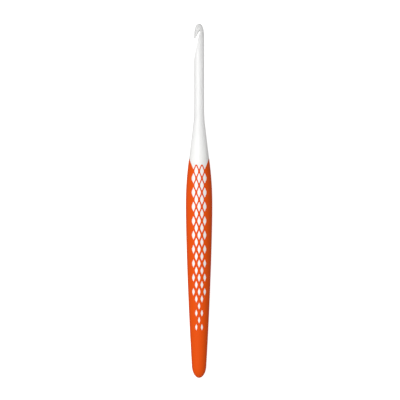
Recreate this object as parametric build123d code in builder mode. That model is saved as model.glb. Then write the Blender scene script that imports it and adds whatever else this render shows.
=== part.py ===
from build123d import *
from math import radians, tan
import os

# A crochet hook with a two-shot moulded handle, in millimetres.
# hook_core is the rigid first shot: nose, throat, shaft and cone, and the core inside the handle.
# soft_grip is the soft second shot, moulded over the handle and its butt end. The core shows
# through the grip's lozenge windows and past its zigzag edge, on the upper and the lower face.
# The hook lies level on its belly. The origin is on the table, under the middle of its length, and
# +Y runs along it to the nose. The throat opens towards -X. Both moulds open along Z, so throat,
# windows and zigzag are cut straight through in Z.
# A height is a distance along the hook, measured from its butt end. A drop is measured back from
# the tip of the nose.

# length, shaft and handle
overall_length = 160.0      # butt end to the tip of the nose
hook_size = 4.5             # shaft diameter, the size that a hook is sold by
handle_diameter = 12.0      # at the belly, over the grip
belly_height = 78.6         # the belly is the handle's widest place
belly_curve_r = 145.0       # from the belly up to the cone
butt_diameter = 6.54        # over the grip, at the middle of the butt's rounding
butt_height = 5.8           # middle of the butt's rounding
butt_lead = 6.0             # the rounding ends this many degrees short of its middle
cone_angle = 6.85           # cone to the axis, degrees
cone_blend_r = 60.0         # long hollow curve from the cone into the shaft

# how far the flank's curve follows the direction that it has at each end
flank_low_reach = 35.0
flank_top_reach = 10.0

# nose and throat
nose_length = 6.6           # from the tip to the shaft's full diameter, short of the lip's rim
nose_tip_reach = 2.15       # how far the nose's curve stays flat at the tip
nose_side_reach = 2.3       # how far it runs on straight from the shaft
lip_drop = 7.25             # where the undercut leaves the shaft
undercut_angle = 28.5       # undercut to the axis, degrees
ramp_drop = 15.6            # where the ramp up to the neck starts
ramp_angle = 12.4           # ramp to the axis, degrees
throat_floor_r = 0.25
ramp_blend_r = 20.0
ramp_runout = 0.02          # the blend ends this far outside the shaft, so that it fades out
throat_edge_r = 0.22        # edges rounded so that yarn slides over them

# soft grip
grip_wall = 1.2
grip_proud = 0.08           # the grip stands this far above the core's pads and collar
butt_wall = 2.0             # thickness of the grip's closed end

# lozenge windows, in rows that are staggered by one column
column_pitch = 1.265
row_pitch = 3.18
top_row_height = 93.3       # the top row is the one nearest the shaft
row_count = 23
wide_rows = 18              # rows that may hold three windows, counted from the top row
top_window = (1.03, 2.47)   # half width and half length, before the corners are rounded
bottom_window = (0.58, 1.53)
shrink_curve = 1.15         # windows shrink slowly at first and faster towards the butt
window_tip_r = 0.08         # the corners at its two ends
window_side_round = 1.0     # radius of its side corners, as part of its half length

# zigzag edge, where the grip ends on the cone and the core's bare collar begins
collar_peak_r = 0.55        # at the grip's points
collar_valley_r = 0.08      # at the collar's points, in the grip's notches

shaft_r = hook_size / 2
handle_r = handle_diameter / 2
grid_slope = row_pitch / column_pitch

# every sketch is drawn on the level plane through the axis: x is across, and y runs from the butt
# end towards the nose
butt_end = (0, -overall_length / 2, handle_r)
hook_plane = Plane(origin=butt_end, x_dir=(1, 0, 0), z_dir=(0, 0, 1))
hook_axis = Axis(butt_end, (0, 1, 0))


def window_size(row):
    """Half width and half length of the windows in a row. Row 0 is the top row."""
    grown = 1 - (max(row, 0) / (row_count - 1)) ** shrink_curve
    return [low + (top - low) * grown for low, top in zip(bottom_window, top_window)]


def row_height(row):
    """Height of the middle of a row. A row of -1 is one step beyond the top row."""
    return top_row_height - row * row_pitch


def window_columns(row):
    """Columns that hold a window, counted from the middle of the handle's face."""
    if row % 2 == 0:
        return (-1, 1)
    return (-2, 0, 2) if row < wide_rows else (0,)


# the collar's points reach in between the windows, as one more row of lozenges would
collar_point_height = row_height(-1) - window_size(-1)[1]
tongue_top = collar_point_height + (handle_r - 2 * column_pitch) * grid_slope


def handle_outline(inset, butt_gap):
    """Draw the handle's half outline from the butt end to the cone, and return its last point.

    Every radius is smaller by inset, and the curve starts at a height of butt_gap.
    """
    belly = (handle_r - inset, belly_height)
    butt = EllipticalCenterArc(
        center=(0, butt_height),
        x_radius=butt_diameter / 2 - inset,
        y_radius=butt_height - butt_gap,
        start_angle=-90,
        arc_size=90 - butt_lead,
    )
    Bezier(
        butt @ 1,
        butt @ 1 + (butt % 1) * flank_low_reach,
        (belly[0], belly_height - flank_top_reach),
        belly,
    )
    shoulder = JernArc(start=belly, tangent=(0, 1), radius=belly_curve_r, arc_size=cone_angle)
    return shoulder @ 1


def handle_section(inset, butt_gap):
    """Half section of the handle, closed flat on the cone where the tongues end."""
    with BuildSketch(hook_plane) as section:
        with BuildLine():
            foot = handle_outline(inset, butt_gap)
            top_r = foot.X - (tongue_top - foot.Y) * tan(radians(cone_angle))
            Polyline(foot, (top_r, tongue_top), (0, tongue_top), (0, butt_gap))
        make_face()
    return section.sketch


def window_outline(row):
    """A lozenge with widely rounded sides and nearly sharp tips."""
    half_width, half_height = window_size(row)
    with BuildSketch() as window:
        Polygon((half_width, 0), (0, half_height), (-half_width, 0), (0, -half_height))
        fillet(window.vertices().sort_by(Axis.Y)[1:3], window_side_round * half_height)
        fillet(window.vertices().group_by(Axis.Y)[0], window_tip_r)
        fillet(window.vertices().group_by(Axis.Y)[-1], window_tip_r)
    return window.sketch


# every lozenge window, as straight prisms through the handle
with BuildPart() as window_prisms:
    with BuildSketch(hook_plane) as windows:
        for row in range(row_count):
            with Locations(*[(c * column_pitch, row_height(row)) for c in window_columns(row)]):
                add(window_outline(row))
    extrude(amount=handle_r + 1, both=True)

# everything past the grip's zigzag edge, which runs out to a tongue on each side of the handle
with BuildPart() as collar_prism:
    with BuildSketch(hook_plane) as collar:
        outer = handle_r + 1
        tongue_edge = collar_point_height + (outer - 2 * column_pitch) * grid_slope
        zigzag = [
            (c * column_pitch, collar_point_height + (c % 2) * row_pitch) for c in range(-2, 3)
        ]
        with BuildLine():
            Polyline(
                (-outer, tongue_edge),
                *zigzag,
                (outer, tongue_edge),
                (outer, tongue_edge + 1),
                (-outer, tongue_edge + 1),
                close=True,
            )
        make_face()
        fillet(collar.vertices().group_by(Axis.Y)[1], collar_peak_r)
        fillet(collar.vertices().group_by(Axis.Y)[0], collar_valley_r)
    extrude(amount=handle_r + 1, both=True)

with BuildPart() as soft_grip:
    revolve(handle_section(0, 0), axis=hook_axis)
    revolve(handle_section(grip_wall, butt_wall), axis=hook_axis, mode=Mode.SUBTRACT)
    add(window_prisms.part, mode=Mode.SUBTRACT)
    add(collar_prism.part, mode=Mode.SUBTRACT)

with BuildPart() as hook_core:
    with BuildSketch(hook_plane):
        with BuildLine():
            foot = handle_outline(grip_proud, grip_proud)
            cone_top = foot.Y + (foot.X - shaft_r) / tan(radians(cone_angle))
            nose_base = overall_length - nose_length
            FilletPolyline(foot, (shaft_r, cone_top), (shaft_r, nose_base), radius=cone_blend_r)
            Bezier(
                (shaft_r, nose_base),
                (shaft_r, nose_base + nose_side_reach),
                (nose_tip_reach, overall_length),
                (0, overall_length),
            )
            Line((0, overall_length), (0, grip_proud))
        make_face()
    revolve(axis=hook_axis)

    # throat: the undercut and the ramp are the two sides of one wedge that opens towards -X
    lip_height = overall_length - lip_drop
    ramp_height = overall_length - ramp_drop
    undercut_rise = 1 / tan(radians(undercut_angle))
    ramp_rise = 1 / tan(radians(ramp_angle))
    foot_x = -shaft_r - ramp_runout
    throat_depth = (lip_height - ramp_height) / (ramp_rise - undercut_rise)
    with BuildSketch(hook_plane) as throat:
        with BuildLine():
            Polyline(
                (-shaft_r - hook_size, lip_height - hook_size * undercut_rise),
                (throat_depth - shaft_r, ramp_height + throat_depth * ramp_rise),
                (foot_x, ramp_height - ramp_runout * ramp_rise),
                (foot_x, ramp_height - hook_size),
                (-shaft_r - hook_size, ramp_height - hook_size),
                close=True,
            )
        make_face()
        fillet(throat.vertices().sort_by(Axis.X)[-1], throat_floor_r)
        foot_corner = throat.vertices().sort_by_distance((foot_x, ramp_height))[0]
        fillet(foot_corner, ramp_blend_r)
    extrude(amount=hook_size, both=True, mode=Mode.SUBTRACT)
    rim = hook_core.edges(Select.LAST).filter_by(GeomType.LINE, reverse=True)
    fillet(rim.filter_by(GeomType.CIRCLE, reverse=True), throat_edge_r)
    add(soft_grip.part, mode=Mode.SUBTRACT)

os.makedirs("parts", exist_ok=True)
hook_core.part.label = "hook_core"
soft_grip.part.label = "soft_grip"
export_step(hook_core.part, "parts/hook_core.step")
export_step(soft_grip.part, "parts/soft_grip.step")
for piece in (hook_core, soft_grip):
    box = piece.part.bounding_box()
    print(piece.part.label, len(piece.part.solids()), round(piece.part.volume, 1), box.min, box.max)
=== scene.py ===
# %% [markdown]
# # Crochet hook with a two-shot moulded handle
#
# The hook is two pieces that were moulded one after the other. The first shot is a rigid white
# polymer: nose, throat, shaft and cone, and the core inside the handle. The second shot is a soft
# orange elastomer that was moulded over the handle, with windows that let the white core show.
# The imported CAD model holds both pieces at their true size, so this script makes the finishes,
# the table, the light and the camera around it.

import bmesh
import bpy
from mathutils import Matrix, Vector


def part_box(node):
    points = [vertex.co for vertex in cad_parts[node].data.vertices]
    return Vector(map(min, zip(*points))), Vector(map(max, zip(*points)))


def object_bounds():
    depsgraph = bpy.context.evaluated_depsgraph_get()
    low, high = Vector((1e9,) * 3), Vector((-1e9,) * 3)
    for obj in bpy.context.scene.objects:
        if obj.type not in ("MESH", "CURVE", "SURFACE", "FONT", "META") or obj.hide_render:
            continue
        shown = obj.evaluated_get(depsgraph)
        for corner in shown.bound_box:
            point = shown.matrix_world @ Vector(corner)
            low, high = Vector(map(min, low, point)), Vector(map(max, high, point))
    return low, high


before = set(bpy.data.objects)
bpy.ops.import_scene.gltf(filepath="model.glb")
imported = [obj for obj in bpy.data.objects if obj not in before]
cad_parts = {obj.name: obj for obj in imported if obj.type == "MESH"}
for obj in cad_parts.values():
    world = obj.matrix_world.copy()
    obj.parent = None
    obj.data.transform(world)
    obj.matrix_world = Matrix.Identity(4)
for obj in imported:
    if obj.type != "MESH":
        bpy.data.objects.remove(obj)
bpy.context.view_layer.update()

MM = 0.001
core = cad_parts["hook_core"]
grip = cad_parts["soft_grip"]
low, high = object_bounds()
middle = (low + high) / 2
length = high.y - low.y
grip_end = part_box("soft_grip")[1][1]
print(f"hook {length / MM:.1f} mm long, {(high.x - low.x) / MM:.1f} mm across the handle")
print(f"the grip ends {(grip_end - low.y) / MM:.1f} mm from the butt end")

# %% [markdown]
# ## Colours and nodes
#
# Cycles works in linear light, but a moulder's colour card is read as an sRGB hex value. One
# function turns the hex into linear. A second small function adds a shader node with its settings
# and its links, so that each material below reads as a list of what it is made of.

# %% Colour helper
def linear(hex_colour, alpha=1.0):
    """An sRGB hex colour as the linear RGBA that Cycles works in."""
    parts = [int(hex_colour[i : i + 2], 16) / 255 for i in (1, 3, 5)]
    return (*[c / 12.92 if c <= 0.04045 else ((c + 0.055) / 1.055) ** 2.4 for c in parts], alpha)


print("orange in linear light:", [round(c, 3) for c in linear("#E9560F")])

# %% Node helpers
def add_node(tree, kind, settings=None, **inputs):
    """Adds a node. Settings are its properties; an input is a value, or a socket to link.

    An input is named for its socket, with _ for a space, or for its place in the list, as in _0.
    """
    made = tree.nodes.new(kind)
    for name, value in (settings or {}).items():
        setattr(made, name, value)
    for name, value in inputs.items():
        socket = made.inputs[int(name[1:]) if name[1:].isdigit() else name.replace("_", " ")]
        if isinstance(value, bpy.types.NodeSocket):
            tree.links.new(value, socket)
        else:
            socket.default_value = value
    return made


def new_material(name):
    """An empty node material, with its node tree and its output."""
    material = bpy.data.materials.new(name)
    material.use_nodes = True
    material.node_tree.nodes.clear()
    return material, material.node_tree, add_node(material.node_tree, "ShaderNodeOutputMaterial")


# %% [markdown]
# ## The mould's witness line
#
# Both shots come out of moulds whose halves part on the level plane through the hook's axis. Where
# the halves meet, on the +X and -X sides, they leave a hair-thin raised line. It could be cut into
# the mesh, but it is only some hundredths of a millimetre high, so a bump does it: a map that is 1
# on that plane and fades to 0 a little way above and below it.

# %% Witness line
def witness_line(tree, place, width):
    """1 on the level plane through the axis, where the mould halves meet, and 0 beyond width."""
    apart = add_node(tree, "ShaderNodeSeparateXYZ", Vector=place)
    rise = add_node(
        tree, "ShaderNodeMath", {"operation": "SUBTRACT"}, _0=apart.outputs["Z"], _1=middle.z
    )
    off = add_node(tree, "ShaderNodeMath", {"operation": "ABSOLUTE"}, _0=rise.outputs[0])
    return add_node(
        tree,
        "ShaderNodeMapRange",
        {"interpolation_type": "SMOOTHSTEP"},
        Value=off.outputs[0],
        From_Min=0.0,
        From_Max=width,
        To_Min=1.0,
        To_Max=0.0,
    ).outputs[0]


print(f"the mould halves part at z = {middle.z / MM:.2f} mm")

# %% [markdown]
# ## Rigid white polymer, moulded and lightly polished
#
# The first shot is an opaque white engineering plastic such as ABS or PBT. It comes out of a
# polished cavity, so its gloss is clear but soft: roughness about 0.35 and the plastics' usual
# IOR of 1.5. Three things keep it from looking like paint. Light travels some millimetres inside
# the bare shaft and cone before it comes back, so their shaded side glows. The flow of the melt
# leaves long shallow streaks along the part. And the mould leaves its witness line.

# %% White polymer
STREAK_WIDTH = 1.5 * MM
STREAK_SQUASH = 0.125  # streaks are eight times as long as they are wide, as the melt ran
POLISH_WAVE = 0.6 * MM
LIGHT_DEPTH = 8 * MM  # how far light travels inside the bare plastic


def moulded_white_polymer():
    material, tree, output = new_material("moulded_white_polymer")
    place = add_node(tree, "ShaderNodeTexCoord").outputs["Object"]

    along = add_node(tree, "ShaderNodeMapping", Vector=place, Scale=(1, STREAK_SQUASH, 1))
    streaks = add_node(
        tree, "ShaderNodeTexNoise", Vector=along.outputs[0], Scale=1 / STREAK_WIDTH, Detail=3.0
    )
    polish = add_node(tree, "ShaderNodeTexNoise", Vector=place, Scale=1 / POLISH_WAVE, Detail=2.0)

    colour = add_node(tree, "ShaderNodeMix", {"data_type": "RGBA"}, Factor=streaks.outputs[0])
    colour.inputs[6].default_value = linear("#F1F1EE")
    colour.inputs[7].default_value = linear("#F6F6F4")
    # light that enters a pad is soon lost under the grip, so only the bare shaft and cone glow
    apart = add_node(tree, "ShaderNodeSeparateXYZ", Vector=place)
    glow = add_node(
        tree,
        "ShaderNodeMapRange",
        Value=apart.outputs["Y"],
        From_Min=grip_end - 3 * MM,
        From_Max=grip_end + 7 * MM,
        To_Min=0.08,
        To_Max=1.0,
    )
    rough = add_node(
        tree, "ShaderNodeMapRange", Value=streaks.outputs[0], To_Min=0.30, To_Max=0.42
    )
    waves = add_node(
        tree, "ShaderNodeBump", Strength=0.35, Distance=0.004 * MM, Height=polish.outputs[0]
    )
    seam = add_node(
        tree,
        "ShaderNodeBump",
        Strength=0.6,
        Distance=0.02 * MM,
        Height=witness_line(tree, place, 0.06 * MM),
        Normal=waves.outputs[0],
    )
    shader = add_node(
        tree,
        "ShaderNodeBsdfPrincipled",
        Base_Color=colour.outputs[2],
        Roughness=rough.outputs[0],
        IOR=1.5,
        Subsurface_Weight=glow.outputs[0],
        Subsurface_Scale=LIGHT_DEPTH,
        Subsurface_Radius=(1.0, 1.0, 1.0),
        Normal=seam.outputs[0],
    )
    tree.links.new(shader.outputs[0], output.inputs["Surface"])
    return material


white_polymer = moulded_white_polymer()
print("made", white_polymer.name, "with", len(white_polymer.node_tree.nodes), "nodes")

# %% [markdown]
# ## Soft-touch elastomer, moulded in a grained cavity
#
# The second shot is a thermoplastic elastomer. Its cavity was blasted, so the surface is a fine
# even grain that leaves no clear highlight: roughness about 0.6, and a low specular level so that
# no white veil lies over the orange. The real grain is about 0.05 mm. It is drawn at 0.25 mm so
# that it can be seen at all. The mould leaves its witness line here too.

# %% Orange elastomer
GRAIN = 0.25 * MM
WORN_PATCH = 8 * MM  # handling leaves slightly smoother patches of about this size


def soft_touch_orange():
    material, tree, output = new_material("soft_touch_orange_elastomer")
    place = add_node(tree, "ShaderNodeTexCoord").outputs["Object"]

    grain = add_node(tree, "ShaderNodeTexNoise", Vector=place, Scale=1 / GRAIN, Detail=4.0)
    patches = add_node(tree, "ShaderNodeTexNoise", Vector=place, Scale=1 / WORN_PATCH, Detail=2.0)

    colour = add_node(tree, "ShaderNodeMix", {"data_type": "RGBA"}, Factor=grain.outputs[0])
    colour.inputs[6].default_value = linear("#DB4B08")
    colour.inputs[7].default_value = linear("#E9560F")
    rough = add_node(
        tree, "ShaderNodeMapRange", Value=patches.outputs[0], To_Min=0.52, To_Max=0.66
    )
    fine = add_node(
        tree, "ShaderNodeBump", Strength=0.5, Distance=0.015 * MM, Height=grain.outputs[0]
    )
    seam = add_node(
        tree,
        "ShaderNodeBump",
        Strength=0.5,
        Distance=0.02 * MM,
        Height=witness_line(tree, place, 0.08 * MM),
        Normal=fine.outputs[0],
    )
    shader = add_node(
        tree,
        "ShaderNodeBsdfPrincipled",
        Base_Color=colour.outputs[2],
        Roughness=rough.outputs[0],
        IOR=1.48,
        Specular_IOR_Level=0.08,
        Normal=seam.outputs[0],
    )
    tree.links.new(shader.outputs[0], output.inputs["Surface"])
    return material


orange_elastomer = soft_touch_orange()
print("made", orange_elastomer.name, "with", len(orange_elastomer.node_tree.nodes), "nodes")

# %% [markdown]
# ## Dress the two pieces
#
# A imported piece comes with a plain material. Its list of materials is emptied first, so that the
# new finish takes the only slot and every face wears it.

# %% Give each moulded shot its finish
for piece, material in ((core, white_polymer), (grip, orange_elastomer)):
    piece.data.materials.clear()
    piece.data.materials.append(material)
    print(piece.name, "has", len(piece.data.polygons), "faces and wears", material.name)

# %% [markdown]
# ## Light table
#
# Small white goods are shot lying on an opal acrylic table that glows from below, so that the
# ground stays white and the only shadow is a faint one where the object touches. The table is a
# round disc. The hook doesn't see it in bounced light, as if the glow went straight up.

# %% Opal acrylic
def opal_acrylic():
    material, tree, output = new_material("opal_acrylic_table")
    place = add_node(tree, "ShaderNodeTexCoord").outputs["Object"]
    haze = add_node(tree, "ShaderNodeTexNoise", Vector=place, Scale=1 / (40 * MM), Detail=2.0)
    rough = add_node(tree, "ShaderNodeMapRange", Value=haze.outputs[0], To_Min=0.5, To_Max=0.7)
    shader = add_node(
        tree,
        "ShaderNodeBsdfPrincipled",
        Base_Color=linear("#A8A8A6"),
        Roughness=rough.outputs[0],
        Emission_Color=(1.0, 1.0, 1.0, 1.0),
        Emission_Strength=0.88,
    )
    tree.links.new(shader.outputs[0], output.inputs["Surface"])
    return material


# %% Table
table_radius = 2 * length
shape = bmesh.new()
bmesh.ops.create_circle(shape, cap_ends=True, segments=128, radius=table_radius)
bmesh.ops.translate(shape, verts=shape.verts, vec=(middle.x, middle.y, low.z))
table_mesh = bpy.data.meshes.new("light_table")
shape.to_mesh(table_mesh)
shape.free()
table_mesh.materials.append(opal_acrylic())
table = bpy.data.objects.new("light_table", table_mesh)
bpy.context.scene.collection.objects.link(table)
table.visible_diffuse = False
table.visible_glossy = False
print(f"table {2 * table_radius / MM:.0f} mm across")

# %% [markdown]
# ## Studio light
#
# The main softbox hangs over the table, a little to the left, which leaves the right flank in
# soft shade and makes the handle read as round. It hangs close, so the light falls off towards
# both ends of the hook. A weak second one low on the right keeps the shaded flank from going dull,
# and the room gives a low even light. The camera sees the room as pure white behind the table.

# %% Softboxes
def softbox(name, direction, away, size, power):
    """A square area light aimed at the hook. x is to the right, y towards the nose, z up."""
    lamp = bpy.data.lights.new(name, "AREA")
    lamp.shape = "SQUARE"
    lamp.size = size
    lamp.energy = power
    stand = bpy.data.objects.new(name, lamp)
    bpy.context.scene.collection.objects.link(stand)
    towards = Vector(direction).normalized()
    target = Vector((middle.x, middle.y + 0.07 * length, middle.z))
    stand.location = target + away * towards
    stand.rotation_euler = towards.to_track_quat("Z", "Y").to_euler()


softbox("main_softbox", direction=(-0.38, 0.0, 0.92), away=0.34, size=0.3, power=1.06)
softbox("right_fill", direction=(0.95, -0.5, 0.3), away=0.5, size=0.3, power=0.08)

# %% Room
ROOM_LIGHT = 0.4

world = bpy.data.worlds.new("white_studio")
bpy.context.scene.world = world
world.use_nodes = True
sky = world.node_tree
sky.nodes.clear()
seen = add_node(sky, "ShaderNodeLightPath").outputs["Is Camera Ray"]
room = add_node(sky, "ShaderNodeBackground", Color=(1, 1, 1, 1), Strength=ROOM_LIGHT)
backdrop = add_node(sky, "ShaderNodeBackground", Color=(1, 1, 1, 1), Strength=1.0)
both = add_node(sky, "ShaderNodeMixShader", _0=seen, _1=room.outputs[0], _2=backdrop.outputs[0])
add_node(sky, "ShaderNodeOutputWorld", Surface=both.outputs[0])
bpy.context.scene.view_settings.view_transform = "Standard"
print("room light", ROOM_LIGHT)

# %% [markdown]
# ## Camera
#
# A long lens looks straight down on the middle of the hook, square to its patterned face, which
# keeps the shaft and the handle free of perspective. The frame is a little wider than the hook is
# long, and the camera stands a hair off the middle, to the right and towards the nose.

# %% Camera
frame_width = 1.13 * length
lens_mm, sensor_mm = 100.0, 36.0
above = frame_width * lens_mm / sensor_mm
off_middle = Vector((0.0026 * length, 0.0023 * length, above))

eye = bpy.data.cameras.new("camera")
eye.lens, eye.sensor_width = lens_mm, sensor_mm
eye.clip_start, eye.clip_end = 0.01, 10.0
camera = bpy.data.objects.new("camera", eye)
bpy.context.scene.collection.objects.link(camera)
camera.location = middle + off_middle
bpy.context.scene.camera = camera
print(f"camera {above / MM:.0f} mm above the hook")
